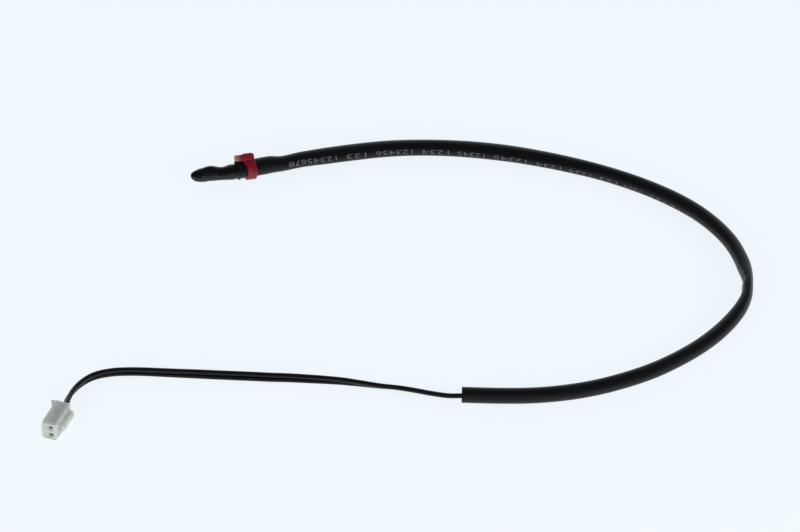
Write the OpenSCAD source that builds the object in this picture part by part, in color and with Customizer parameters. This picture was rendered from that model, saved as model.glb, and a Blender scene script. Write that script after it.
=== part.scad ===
// Thermistor temperature probe on a sleeved two-wire lead with a two-way plug.
// Millimetres, +Z up. The probe lies on the plane z = 0 with its tip along -X.

/* [Tip] */
// Length of the black tip that stands out of the sleeve
tip_out = 13.6; // [12.5:0.1:20]
// Length of the tip's tail inside the sleeve
tip_tail = 8.6; // [7.5:0.1:14]
// Diameter of the rounded nose where it meets the body
nose_d = 3.9; // [3.6:0.05:3.95]
// Length of the rounded nose
nose_len = 3.8; // [2.5:0.1:4.2]
// Diameter of the straight land that goes into a pocket
land_d = 4; // [3.95:0.05:5]
// Length of the straight land
land_len = 2.8; // [1:0.1:3]
// Diameter of the waist behind the land
waist_d = 3.66; // [3.4:0.02:3.9]
// Diameter of the swelling in front of the sleeve
collar_d = 4.4; // [4:0.02:5]
// Diameter of the tail inside the sleeve
tail_d = 3.8; // [3.5:0.05:4]

/* [Thermistor] */
// Side of the square ceramic chip
chip_side = 0.9; // [0.5:0.05:1]
// Thickness of the ceramic chip
chip_t = 0.5; // [0.3:0.05:0.6]
// Diameter of the resin drop on the chip
bead_d = 2; // [1.7:0.1:2.4]
// Length of the resin drop
bead_len = 3.4; // [2.8:0.1:4]
// Diameter of the fine leads from the chip
bead_lead_d = 0.25; // [0.15:0.05:0.3]
// Outer diameter of the shrink tube on each joint
joint_tube_d = 1.3; // [1.2:0.05:1.36]
// Wall of the shrink tube on each joint
joint_tube_wall = 0.2; // [0.1:0.05:0.22]
// Length of the shrink tube on each joint
joint_tube_len = 6.5; // [5:0.1:6.6]
// Length of the soldered joint
joint_len = 2.5; // [1.5:0.1:3]

/* [Sleeve] */
// Diameter of the soft sleeve where it lies free
sleeve_d = 4.5; // [4.3:0.05:5]
// Wall of the soft sleeve
sleeve_wall = 0.45; // [0.3:0.05:0.5]
// Slant of the sleeve's cut mouth, in degrees
mouth_slant = 12; // [0:1:20]

/* [Wires] */
// Diameter of each insulated wire
wire_d = 1.4; // [1:0.05:1.4]
// Diameter of the stranded copper in each wire
conductor_d = 0.5; // [0.3:0.05:0.6]

/* [Cable tie] */
// Width of the strap
strap_w = 2.8; // [2:0.1:3.4]
// Thickness of the strap
strap_t = 0.75; // [0.6:0.05:1.1]
// Distance from the sleeve's mouth to the middle of the strap
tie_from_mouth = 4.2; // [3.8:0.1:4.8]
// Length of the head along the sleeve
head_len = 5.6; // [5.2:0.1:6]
// Distance of the head's middle from the strap's, towards the mouth
head_shift = 1.1; // [0:0.1:1.1]
// Width of the head across the sleeve
head_w = 4.6; // [4:0.1:5]
// Height of the head above the sleeve
head_h = 1.9; // [1.6:0.1:3]
// Lean of the strap and its head against a square wrap, in degrees
tie_lean = 2; // [0:1:12]
// Swing of the strap below its head, in degrees
tie_swing = 10; // [0:1:14]
// Turn of the head behind the top of the sleeve, in degrees
head_turn = 40; // [0:5:60]

/* [Plug] */
// Length of the housing from its wire end to its mating face
plug_len = 9.8; // [9.5:0.1:12]
// Thickness of the housing across its broad sides
plug_t = 4.4; // [4:0.1:5]
// Distance between the two ways
pitch = 2.5; // [2.5:0.02:2.6]
// Distance of the ways from the housing's middle, towards the rib
way_shift = 0.6; // [0:0.05:0.7]
// Wall beside each cavity, at the two narrow sides
side_wall = 0.5; // [0.4:0.05:0.6]
// Cavity size across the ways
cavity = 1.9; // [1.8:0.05:2]
// Size of the square pin hole in the mating face
pin_hole = 1; // [0.8:0.05:1.2]
// Thickness of the mating wall
mating_wall = 1; // [0.8:0.1:1.2]
// Width of the guide rib
rib_w = 1.8; // [1:0.1:2.2]
// Height of the guide rib
rib_h = 1.3; // [0.8:0.1:1.4]
// Length of the guide rib
rib_len = 6.7; // [5:0.1:7.5]
// Height of the finger lip at the wire end
lip_h = 1.15; // [0.6:0.05:1.4]
// Length of the finger lip with its ramp
lip_len = 2.5; // [1.5:0.1:2.8]

/* [Hidden] */

$fn = 48;
SLEEVE_SIDES = 12;
WIRE_SIDES = 8;
// Clearance between pieces that are pushed together
fit = 0.03;
// Reach of a cut past the face it opens
past = 0.1;

// The sleeve is a twelve-sided tube, so its corners stand proud of the tail's circle
sleeve_over_tail_r = (tail_d / 2 + fit) / cos(180 / SLEEVE_SIDES) + sleeve_wall;
strap_r = sleeve_over_tail_r + strap_t;

// Highest reach of the head behind the axis, which centres the probe on the frame
head_top_r = (sleeve_over_tail_r + head_h) * cos(tie_lean)
  + (head_len / 2 - head_shift) * sin(tie_lean);
head_back = head_top_r * sin(head_turn) + head_w / 2 * cos(head_turn);

// The tip's axis runs along X. The frame's origin is below the middle of tip and tie
nose_x = -(tip_out + tip_tail) / 2;
mouth_x = nose_x + tip_out;
tail_x = mouth_x + tip_tail;
tie_x = mouth_x + tie_from_mouth;
axis_y = (strap_r - head_back) / 2;
axis_z = strap_r;

// Places along the tip, measured from the nose
land_from = 4.6;
collar_back = 0.9;
waist_back = 3.3;
collar_at = tip_out - collar_back;
waist_at = collar_at - waist_back;
tip_len = tip_out + tip_tail;
bead_from = 1;
// The chip's middle lies behind the middle of the drop's round end
chip_set_back = 0.3;
chip_at = bead_from + bead_d / 2 + chip_set_back;
// The fine leads run straight, spread, and run straight again into the shrink tubes
lead_run = 0.2;
lead_spread = 1.4;
lead_run_out = 0.4;
lead_spread_from = bead_from + bead_len + lead_run;
lead_spread_to = lead_spread_from + lead_spread;
joint_tube_from = lead_spread_to + lead_run_out;
joint_at = joint_tube_from + joint_tube_len / 2;
joint_gap = 0.2;
// Depth that a fine lead sinks into the chip's electrode
lead_seat = 0.05;
// Resin round the fine leads at the drop's neck, and solder over the stranded core
neck_wall = 0.15;
solder_skin = 0.05;
strip_at = joint_tube_from + joint_tube_len + joint_gap;

// Half distances from the tip's axis to the chip's leads and to the two wires
chip_lead_half = chip_t / 2 + bead_lead_d / 2 - lead_seat;
pair_half = max(wire_d, joint_tube_d + 2 * fit) / 2;

// Small edges of the moulded pieces
tie_edge = 0.35;
plug_edge = 0.3;
// The head lies just clear of the sleeve, its slot is shallow and the strap's end shows
head_gap = 0.05;
slot_side = 0.05;
slot_gap = 0.2;
slot_depth = 0.5;
stub_h = 0.25;

// Plug frame: X runs along the ways to the mating face, Y to the rib, Z up
plug_h = pitch + cavity + 2 * side_wall;
PLUG_AT = [-59.9, -92.4];
PLUG_TURN = -122;
rib_from = 0.75;
lip_flat = 0.6;
mating_recess = 0.3;
mating_notch = 0.45;
mating_notch_len = 1.25;
// The contact's two crimps, with the wire and its core reaching a little past them
crimp_wall = 0.2;
crimp_gap = 0.6;
crimp_seam = 0.15;
core_crimp_len = 1.6;
past_crimp = 0.2;
wire_crimp = [0.9, 2.3];
core_crimp = [wire_crimp[1] + crimp_gap, wire_crimp[1] + crimp_gap + core_crimp_len];
wire_in_plug = wire_crimp[1] + past_crimp;
core_in_plug = core_crimp[1] + past_crimp;
// The contact's box stands clear of its cavity at the sides, below and at the end
contact_play = 0.15;
contact_lift = 0.05;
contact_end_gap = 0.1;
contact_w = cavity - 2 * contact_play;
contact_floor = -cavity / 2 + contact_lift;
contact_box = [core_crimp[1] + crimp_gap, plug_len - mating_wall - contact_end_gap];
contact_t = 0.2;
// Spring tongue inside the box: place of its crest, its length and its rise
tongue_crest = 1.6;
tongue_len = 2.6;
tongue_rise = 0.25;
tongue_end_rise = 0.1;
tongue_t = 0.15;
// Window in the housing, and the lance that springs out into it
window_ahead = 0.3;
window_len = 2;
window_w = 1.2;
window = [contact_box[0] - window_ahead, contact_box[0] - window_ahead + window_len];
lance_back = 0.5;
lance_len = 1.2;
lance_out = 0.4;
lance_t = 0.15;
lance_gap = 0.15;

// Straight stretch before and after each bend that leaves a rigid piece
straight_run = 0.5;
// Free diameter of the sleeve for which the route's widths and heights are written
ROUTE_SLEEVE_D = 4.5;
// The sleeve's centre line after the tip, chosen by hand: x, y, z, width across, height
SLEEVE_ROUTE = [
  [16, 0.2, 2.85, 4.6, 4.6], [22, 1.4, 2.45, 4.7, 4.5], [30, 2, 2.25, 5, 4.5],
  [39, 2.1, 2.25, 5.1, 4.5], [48, 1.8, 2.25, 5, 4.5], [57, 0.6, 2.25, 4.9, 4.5],
  [66, -1.4, 2.25, 4.9, 4.5], [74.5, -4, 2.25, 5.1, 4.5], [83, -7.3, 2.25, 5.1, 4.5],
  [91, -11.2, 2.25, 4.9, 4.5], [99, -15.5, 2.25, 4.6, 4.5], [106.5, -20.2, 2.25, 4.4, 4.5],
  [113.5, -25.5, 2.25, 4.4, 4.5], [120, -31.3, 2.25, 4.4, 4.5], [126, -37.7, 2.25, 4.5, 4.5],
  [131, -44.6, 2.25, 4.5, 4.5], [134.8, -52, 2.25, 4.5, 4.5], [137, -59, 2.25, 4.4, 4.5],
  [137.9, -65, 2.3, 4.1, 4.6], [138, -70, 2.4, 3.9, 4.8], [137.7, -74.3, 2.6, 3.2, 5.2],
  [137, -78, 2.65, 2.8, 5.3], [135.7, -81.7, 2.55, 3.1, 5.1], [133, -86.2, 2.4, 3.7, 4.8],
  [129.3, -90.5, 2.3, 4.1, 4.6], [124.2, -95.2, 2.25, 4.3, 4.5], [117.7, -100, 2.25, 4.3, 4.5],
  [110, -104, 2.25, 4.3, 4.5], [102, -107.2, 2.25, 4.4, 4.5], [93.5, -109.6, 2.25, 4.4, 4.5],
  [85, -110.9, 2.25, 4.4, 4.5], [76.5, -111.3, 2.25, 4.4, 4.5], [67.5, -110.7, 2.25, 4.4, 4.5],
  [58.5, -109.3, 2.25, 4.4, 4.5], [48.2, -106.9, 2.25, 4.4, 4.5]];

// The pair of wires past the sleeve, chosen by hand: x, y, z, lean of the pair, half its spread
LEAD_ROUTE = [
  [45, -105.8, 1.45, 49, 0.7], [40.5, -103.8, 1.2, 49, 0.7], [36, -101.7, 1.2, 49, 0.7],
  [31.5, -99.7, 1.2, 48, 0.7], [27, -98, 1.25, 42, 0.7], [22, -96.1, 1.35, 28, 0.7],
  [17.5, -94.4, 1.4, 15, 0.7], [12.5, -92.8, 1.4, 5, 0.7], [8, -91.5, 1.4, -2, 0.7],
  [3, -90.1, 1.4, -8, 0.7], [-2, -88.9, 1.4, -12, 0.7], [-6.5, -87.7, 1.4, -15, 0.7],
  [-11.5, -86.4, 1.4, -15, 0.7], [-16.5, -85.1, 1.4, -14, 0.7], [-21, -83.9, 1.4, -12, 0.7],
  [-26, -82.6, 1.4, -8, 0.7], [-31, -81.3, 1.4, -4, 0.7], [-35.5, -80.1, 1.4, -2, 0.7],
  [-40.5, -79, 1.4, 0, 0.7], [-45.5, -78.5, 1.45, 2, 0.7], [-50.3, -79.3, 1.6, 8, 0.7],
  [-54.1, -81.8, 1.9, 16, 0.7], [-57.2, -85.6, 2.25, 22, 0.75], [-59, -89.3, 2.55, 20, 0.95]];

// Sweep helpers: every ring stands square to the route's horizontal run
function unit(v) = v / norm(v);
function run_at(p, i) =
  unit([for (k = [0:1]) p[min(i + 1, len(p) - 1)][k] - p[max(i - 1, 0)][k]]);
function across_at(p, i) = let (r = run_at(p, i)) [-r[1], r[0], 0];
function ring(centre, across, half_w, half_h, sides, turn) =
  [for (k = [0:sides - 1]) let (a = turn + k * 360 / sides)
    centre + across * half_w * cos(a) + [0, 0, half_h * sin(a)]];
// Triangles between two rings of n points that start at a and b
function band(a, b, n) =
  [for (k = [0:n - 1]) let (m = (k + 1) % n) each [[a + k, b + m, a + m], [a + k, b + k, b + m]]];
function flip(faces) = [for (f = faces) [f[2], f[1], f[0]]];
function fan(a, n) = [for (k = [1:n - 2]) [a, a + k, a + k + 1]];

// A solid rod or, where inner rings are given, a tube through the same stations
module sweep(outer, inner = []) {
  n = len(outer[0]);
  count = len(outer);
  last = (count - 1) * n;
  base = count * n;
  walls = [for (i = [0:count - 2]) each band(i * n, (i + 1) * n, n)];
  if (len(inner) == 0) {
    polyhedron([for (r = outer) each r],
      concat(walls, fan(0, n), flip(fan(last, n))));
  } else {
    bore = [for (i = [0:count - 2]) each band(base + i * n, base + (i + 1) * n, n)];
    polyhedron([for (r = concat(outer, inner)) each r],
      concat(walls, flip(bore), band(base, 0, n), band(last, base + last, n)));
  }
}

// The sleeve's stations: centre, width and height, straight over the tip's tail
over_tail = 2 * sleeve_over_tail_r;
sleeve_straight = [mouth_x, tail_x, tail_x + straight_run];
SLEEVE_START = len(sleeve_straight);
sleeve_rows = concat(
  [for (x = sleeve_straight) [x, axis_y, axis_z, over_tail, over_tail]],
  [for (r = SLEEVE_ROUTE)
    [r[0], r[1], r[2], r[3] + sleeve_d - ROUTE_SLEEVE_D, r[4] + sleeve_d - ROUTE_SLEEVE_D]]);

// The mouth is cut at a slant, and reaches furthest beside the tie's head
function mouth_cut(p) = let (up = (p[1] - axis_y) * sin(head_turn) + (p[2] - axis_z) * cos(head_turn))
  [p[0] + tan(mouth_slant) * (sleeve_over_tail_r - up), p[1], p[2]];
function sleeve_rings(inset) =
  [for (i = [0:len(sleeve_rows) - 1])
    let (r = sleeve_rows[i], square = ring([r[0], r[1], r[2]], across_at(sleeve_rows, i),
      r[3] / 2 - inset, r[4] / 2 - inset, SLEEVE_SIDES, 0))
    i == 0 ? [for (p = square) mouth_cut(p)] : square];

// The pair sinks into the room that the bore leaves, and leans over towards the mouth
LEAN_AT_MOUTH = 49;
LEAN_ROWS = 4;
function settle(r) =
  max(0, min(r[3], r[4]) / 2 - sleeve_wall - wire_d / 2 - pair_half - fit);
function in_sleeve(i) =
  let (r = sleeve_rows[i], left = (len(sleeve_rows) - 1 - i) / LEAN_ROWS)
  [r[0], r[1], r[2] - settle(r), LEAN_AT_MOUTH * max(0, 1 - left), pair_half];

function in_plug(x) = [PLUG_AT[0] + x * cos(PLUG_TURN), PLUG_AT[1] + x * sin(PLUG_TURN),
  plug_h / 2, 0, pitch / 2];

// Stations of the pair from a place in the tip to a place in the plug
function lead_rows(from, to) = concat(
  [for (x = [nose_x + from, tail_x, tail_x + straight_run]) [x, axis_y, axis_z, 0, pair_half]],
  [for (i = [SLEEVE_START:len(sleeve_rows) - 1]) in_sleeve(i)],
  LEAD_ROUTE, [for (x = [-straight_run, 0, to]) in_plug(x)]);

// Rings of one wire of the pair: side is 1 for the upper one and -1 for the lower one
function wire_rings(rows, side, r) =
  [for (i = [0:len(rows) - 1]) let (p = rows[i], across = across_at(rows, i))
    ring([p[0], p[1], p[2]] + side * p[4] * (across * sin(p[3]) + [0, 0, cos(p[3])]),
      across, r, r, WIRE_SIDES, 180 / WIRE_SIDES)];

// A piece that is drawn along +Z from the tip's nose is laid along the tip's axis
module on_tip_axis(height = 0) {
  translate([nose_x, axis_y, axis_z + height]) rotate([0, 90, 0]) children();
}

module rod(from, to, d) {
  translate([0, 0, from]) cylinder(d = d, h = to - from);
}

// The eight-sided core of a wire, as the swept wires have it
module straight_wire(from, to, d) {
  translate([0, 0, from]) rotate(180 / WIRE_SIDES)
    linear_extrude(to - from) circle(d = d, $fn = WIRE_SIDES);
}

// Half a wave between two [place, radius] pairs, from the first to just before the second
function eased(a, b, steps) =
  [for (k = [0:steps - 1]) let (t = (1 - cos(180 * k / steps)) / 2)
    [a[1] + (b[1] - a[1]) * t, a[0] + (b[0] - a[0]) * k / steps]];
function wave(rows, steps = 6) =
  [for (i = [0:len(rows) - 2])
    each eased(rows[i], rows[i + 1], rows[i][1] == rows[i + 1][1] ? 1 : steps)];
function dome(r, len, steps = 8) =
  [for (k = [0:steps - 1]) let (a = 90 * k / steps) [r * sin(a), len * (1 - cos(a))]];

tip_rows = [
  [nose_len, nose_d / 2], [land_from, land_d / 2], [land_from + land_len, land_d / 2],
  [waist_at, waist_d / 2], [collar_at, collar_d / 2], [tip_out, tail_d / 2],
  [tip_len, tail_d / 2]];

module tip_form() {
  rotate_extrude() polygon(
    concat(dome(nose_d / 2, nose_len), wave(tip_rows), [[tail_d / 2, tip_len], [0, tip_len]]));
}

module bead_form() {
  r = bead_d / 2;
  neck_r = chip_lead_half + bead_lead_d / 2 + neck_wall;
  translate([0, 0, bead_from]) rotate_extrude()
    polygon(concat(dome(r, r), wave([[r, r], [bead_len, neck_r]]),
      [[neck_r, bead_len], [0, bead_len]]));
}

// One fine lead: along the chip's face, out to the wire's line, and into the joint
module bead_lead_form(side) {
  stations = [[chip_at - chip_side / 4, chip_lead_half], [lead_spread_from, chip_lead_half],
    [lead_spread_to, pair_half], [joint_at - joint_gap / 2, pair_half]];
  rotate([0, -90, 0]) sweep([for (p = stations)
    ring([p[0], 0, side * p[1]], [0, 1, 0], bead_lead_d / 2, bead_lead_d / 2, WIRE_SIDES,
      180 / WIRE_SIDES)]);
}

module tip_coating() {
  color("#101011") on_tip_axis() difference() {
    tip_form();
    bead_form();
    for (side = [-1, 1]) {
      bead_lead_form(side);
      translate([-side * pair_half, 0, 0]) {
        rod(joint_tube_from, joint_tube_from + joint_tube_len, joint_tube_d);
        straight_wire(joint_tube_from, strip_at, conductor_d);
        straight_wire(strip_at, tip_len + past, wire_d);
      }
    }
  }
}

module chip_form() {
  translate([0, 0, chip_at]) cube([chip_t, chip_side, chip_side], center = true);
}

module thermistor_chip() {
  color("#8a8f94") on_tip_axis() difference() {
    chip_form();
    for (side = [-1, 1]) bead_lead_form(side);
  }
}

module bead_coating() {
  color("#2b2f3a") on_tip_axis() difference() {
    bead_form();
    chip_form();
    for (side = [-1, 1]) bead_lead_form(side);
  }
}

module bead_lead(side) {
  color("silver") on_tip_axis() bead_lead_form(side);
}

module joint_tube(side) {
  color("#26262a") on_tip_axis(side * pair_half) difference() {
    rod(joint_tube_from, joint_tube_from + joint_tube_len, joint_tube_d);
    rod(joint_tube_from - past, strip_at + past, joint_tube_d - 2 * joint_tube_wall);
  }
}

// A spindle of solder round the ends of the fine lead and the stranded core
module solder_joint(side) {
  r = joint_tube_d / 2 - joint_tube_wall - fit;
  end_r = conductor_d / 2 + solder_skin;
  taper = joint_len / 5;
  from = joint_at - joint_len / 2;
  color("#b9bcc0") on_tip_axis(side * pair_half) difference() {
    translate([0, 0, from]) rotate_extrude()
      polygon([[0, 0], [end_r, 0], [r, taper], [r, joint_len - taper], [end_r, joint_len],
        [0, joint_len]]);
    rod(from - past, joint_at - joint_gap / 2, bead_lead_d);
    straight_wire(joint_at + joint_gap / 2, from + joint_len + past, conductor_d);
  }
}

// Strap and head are one moulding. The head's own frame leans with the strap
module cable_tie() {
  reach = 2 * strap_r + 2 * head_h;
  head_from = sleeve_over_tail_r + head_gap;
  head_to = sleeve_over_tail_r + head_h;
  color("#b3182c") translate([tie_x, axis_y, axis_z]) rotate([-head_turn, 0, 0]) {
    difference() {
      union() {
        intersection() {
          rotate([0, 90, 0]) cylinder(r = strap_r, h = reach, center = true);
          rotate([0, -tie_lean, tie_swing]) cube([strap_w, reach, reach], center = true);
        }
        rotate([0, -tie_lean, 0]) tie_head(head_from, head_to);
      }
      rotate([0, 90, 0]) cylinder(r = sleeve_over_tail_r, h = reach, center = true);
    }
  }
}

module tie_head(from, to) {
  side = head_len / 2;
  slot = [strap_w + 2 * slot_side, strap_t + 2 * slot_gap];
  difference() {
    translate([-head_shift, 0, 0]) rotate([90, 0, 0]) linear_extrude(head_w, center = true)
      polygon([[-side, from], [side, from], [side, to - tie_edge], [side - tie_edge, to],
        [tie_edge - side, to], [-side, to - tie_edge]]);
    translate([0, 0, to - slot_depth / 2])
      cube([slot[0], slot[1], slot_depth + past], center = true);
  }
  // The strap's tail, cut off a little above the head
  translate([-strap_w / 2, -strap_t / 2, to - slot_depth - past])
    cube([strap_w, strap_t, slot_depth + past + stub_h]);
  // Neck between the strap and the head
  translate([-strap_w / 2, -head_w / 2, 0]) cube([strap_w, head_w, from + past]);
}

module outer_sleeve() {
  color("#1a1a1b") sweep(sleeve_rings(0), sleeve_rings(sleeve_wall));
}

module wire(side) {
  rows = lead_rows(strip_at, wire_in_plug);
  color("#141416")
    sweep(wire_rings(rows, side, wire_d / 2), wire_rings(rows, side, conductor_d / 2));
}

module conductor(side) {
  rows = lead_rows(joint_at + joint_gap / 2, core_in_plug);
  color("#c8a27a") sweep(wire_rings(rows, side, conductor_d / 2));
}

module in_plug_frame(height = 0) {
  translate([PLUG_AT[0], PLUG_AT[1], plug_h / 2 + height]) rotate(PLUG_TURN) children();
}

// A block given by its reach along the plug, its width, and its lowest and highest face
module block(along, w, low, high) {
  translate([along[0], -w / 2, low]) cube([along[1] - along[0], w, high - low]);
}

module plug_housing() {
  half_t = plug_t / 2;
  half_h = plug_h / 2;
  e = plug_edge;
  inner = plug_len - mating_wall;
  color("#d8dcd8") in_plug_frame() difference() {
    translate([0, -way_shift, 0]) {
      rotate([90, 0, 90]) linear_extrude(plug_len)
        polygon([[-half_t + e, -half_h], [half_t - e, -half_h], [half_t, -half_h + e],
          [half_t, half_h - e], [half_t - e, half_h], [-half_t + e, half_h],
          [-half_t, half_h - e], [-half_t, -half_h + e]]);
      // Guide rib along the middle of one broad side
      translate([rib_from, half_t - past, 0]) rotate([90, 0, 90]) linear_extrude(rib_len)
        polygon([[0, -rib_w / 2], [rib_h + past - e / 2, -rib_w / 2],
          [rib_h + past, -rib_w / 2 + e / 2], [rib_h + past, rib_w / 2 - e / 2],
          [rib_h + past - e / 2, rib_w / 2], [0, rib_w / 2]]);
      // Finger lip with its ramp on the other broad side
      translate([0, -half_t, 0]) linear_extrude(plug_h - 2 * e, center = true)
        polygon([[0, past], [0, -lip_h], [lip_flat, -lip_h], [lip_len, 0], [lip_len, past]]);
    }
    for (way = [-1, 1]) translate([0, 0, way * pitch / 2]) {
      block([-past, inner], cavity, -cavity / 2, cavity / 2);
      block([inner - past, plug_len + past], pin_hole, -pin_hole / 2, pin_hole / 2);
      block([plug_len - mating_recess, plug_len + past], pin_hole + 2 * mating_recess,
        -pin_hole / 2 - mating_recess, pin_hole / 2 + mating_recess);
      // Window where the contact's lance catches
      translate([0, -(half_t + way_shift) / 2 - past, 0])
        block(window, half_t + way_shift + past, -window_w / 2, window_w / 2);
    }
    // Notches that set the two ways apart at the mating face
    for (z = [-half_h, 0, half_h])
      translate([plug_len - mating_notch_len, -half_t - way_shift, z]) rotate([90, 0, 90])
        linear_extrude(mating_notch_len + past)
          polygon([[-past, -2 * mating_notch], [0, -mating_notch], [mating_notch, 0],
            [0, mating_notch], [-past, 2 * mating_notch]]);
  }
}

// A folded strip: crimp round the wire, crimp round the bare core, box for the pin
module contact(side) {
  floor_top = contact_floor + contact_t;
  wire_r = wire_d / 2;
  core_r = conductor_d / 2;
  color("#c9b26a") in_plug_frame(side * pitch / 2) {
    difference() {
      union() {
        block([wire_crimp[0], contact_box[0] + past], core_r * 2, contact_floor, floor_top);
        crimp_barrel(wire_crimp, wire_r);
        crimp_barrel(core_crimp, core_r);
        block(core_crimp, core_r * 2, contact_floor, 0);
        contact_box_form(floor_top);
        lance();
      }
      // Room for the wire and its bare core
      translate([-past, 0, 0]) rotate([0, 90, 0])
        straight_wire(0, wire_in_plug + past, wire_d);
      rotate([0, 90, 0]) straight_wire(0, core_in_plug, conductor_d);
      // The crimp's two wings meet in a seam
      block([0, core_crimp[1] + past], crimp_seam, 0, cavity);
    }
  }
}

module crimp_barrel(along, r) {
  translate([along[0], 0, 0]) rotate([0, 90, 0])
    cylinder(r = r + crimp_wall, h = along[1] - along[0]);
}

module contact_box_form(floor_top) {
  top = contact_floor + contact_w;
  difference() {
    block(contact_box, contact_w, contact_floor, top);
    block([contact_box[0] - past, contact_box[1] + past], contact_w - 2 * contact_t,
      floor_top, top - contact_t);
  }
  // Spring tongue that presses on the pin
  translate([contact_box[0] + contact_t, 0, floor_top]) rotate([90, 0, 0])
    linear_extrude(contact_w / 2, center = true)
      polygon([[0, -past], [tongue_crest, tongue_rise], [tongue_len, tongue_end_rise],
        [tongue_len, tongue_end_rise + tongue_t], [tongue_crest, tongue_rise + tongue_t],
        [0, tongue_t]]);
}

// A tab bent out of the box's side wall, which catches behind the window's edge
module lance() {
  translate([window[0] + lance_back, -contact_w / 2, 0])
    linear_extrude(window_w - 2 * lance_gap, center = true)
      polygon([[lance_len, contact_t / 2], [0, -lance_out], [0, lance_t - lance_out],
        [lance_len - 2 * lance_t, contact_t / 2]]);
}

tip_coating();
thermistor_chip();
bead_coating();
bead_lead(1);  // bead_lead_a
bead_lead(-1);  // bead_lead_b
solder_joint(1);  // solder_joint_a
solder_joint(-1);  // solder_joint_b
joint_tube(1);  // joint_tube_a
joint_tube(-1);  // joint_tube_b
cable_tie();
outer_sleeve();
wire(1);  // wire_a
wire(-1);  // wire_b
conductor(1);  // conductor_a
conductor(-1);  // conductor_b
plug_housing();
contact(1);  // contact_a
contact(-1);  // contact_b
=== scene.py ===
"""Looks of a temperature probe: resin tip, red cable tie, soft sleeve, two wires and a nylon plug."""

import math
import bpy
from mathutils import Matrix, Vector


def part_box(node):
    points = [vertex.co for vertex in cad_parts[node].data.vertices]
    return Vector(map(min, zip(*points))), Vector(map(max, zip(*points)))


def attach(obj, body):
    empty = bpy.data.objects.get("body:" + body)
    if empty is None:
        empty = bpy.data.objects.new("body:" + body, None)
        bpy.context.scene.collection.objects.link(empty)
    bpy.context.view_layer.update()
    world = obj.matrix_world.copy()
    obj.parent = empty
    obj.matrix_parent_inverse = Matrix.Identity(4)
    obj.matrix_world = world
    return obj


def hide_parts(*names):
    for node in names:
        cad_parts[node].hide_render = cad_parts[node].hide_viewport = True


bl_info = {
    "name": "Sleeved Temperature Probe",
    "version": (1, 0, 0),
    "blender": (4, 5, 0),
    "location": "View3D > Sidebar > Probe",
    "description": "Models a sleeved temperature probe with its cable tie, wires and plug",
    "category": "Add Mesh",
}

import bmesh
import bpy
from mathutils import Matrix, Vector, noise

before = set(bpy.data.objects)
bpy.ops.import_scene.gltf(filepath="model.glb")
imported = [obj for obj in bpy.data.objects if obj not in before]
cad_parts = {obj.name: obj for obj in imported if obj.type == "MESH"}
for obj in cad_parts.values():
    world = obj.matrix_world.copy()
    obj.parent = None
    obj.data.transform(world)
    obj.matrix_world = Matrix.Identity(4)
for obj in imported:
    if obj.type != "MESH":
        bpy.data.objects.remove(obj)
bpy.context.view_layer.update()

MM = 0.001

# The tip's axis and ends, and the sleeve's mouth, as the solids have them
TIP_LOW, TIP_HIGH = (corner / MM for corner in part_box("tip_coating"))
NOSE_X, TAIL_X = TIP_LOW.x, TIP_HIGH.x
AXIS_Y, AXIS_Z = (TIP_LOW.y + TIP_HIGH.y) / 2, (TIP_LOW.z + TIP_HIGH.z) / 2
TIP_TAIL = 8.6
MOUTH_X = TAIL_X - TIP_TAIL
MOUTH_SLANT = math.radians(12)
SLEEVE_OVER_TAIL_R = 2.448
TIE_X = MOUTH_X + 4.2
TIE_HEAD_TURN = math.radians(40)
STRAIGHT_RUN = 0.5

# The sleeve's centre line after the tip, in millimetres: x, y, z, width across, height
SLEEVE_ROUTE = [
    [16, 0.2, 2.85, 4.6, 4.6], [22, 1.4, 2.45, 4.7, 4.5], [30, 1.9, 2.3, 5.2, 4.6],
    [39, 2, 2.3, 5.3, 4.6], [48, 1.7, 2.3, 5.2, 4.6], [57, 0.5, 2.3, 5, 4.6],
    [66, -1.5, 2.3, 5.1, 4.6], [74.5, -4.1, 2.3, 5.3, 4.6], [83, -7.4, 2.3, 5.3, 4.6],
    [91, -11.2, 2.3, 5.1, 4.6], [99, -15.6, 2.3, 4.9, 4.6], [106.5, -20.3, 2.3, 4.6, 4.6],
    [113.5, -25.5, 2.3, 4.6, 4.6], [120, -31.2, 2.3, 4.6, 4.6], [126, -37.6, 2.3, 4.7, 4.6],
    [131, -44.5, 2.3, 4.6, 4.6], [134.8, -52, 2.25, 4.5, 4.5], [137, -59, 2.25, 4.4, 4.5],
    [137.8, -65, 2.3, 4.2, 4.6], [138, -70, 2.4, 3.9, 4.8], [137.7, -74.3, 2.6, 3.2, 5.2],
    [137, -78, 2.65, 2.8, 5.3], [135.7, -81.7, 2.55, 3.1, 5.1], [133, -86.2, 2.4, 3.7, 4.8],
    [129.3, -90.5, 2.3, 4.1, 4.6], [124.2, -95.2, 2.25, 4.3, 4.5], [117.7, -99.9, 2.25, 4.3, 4.5],
    [110, -104.1, 2.25, 4.3, 4.5], [102, -107.4, 2.25, 4.4, 4.5], [93.5, -109.7, 2.25, 4.4, 4.5],
    [85, -111.1, 2.25, 4.4, 4.5], [76.5, -111.5, 2.25, 4.4, 4.5], [67.5, -110.9, 2.25, 4.4, 4.5],
    [58.5, -109.3, 2.25, 4.4, 4.5], [48.2, -106.9, 2.25, 4.4, 4.5],
]

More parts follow.
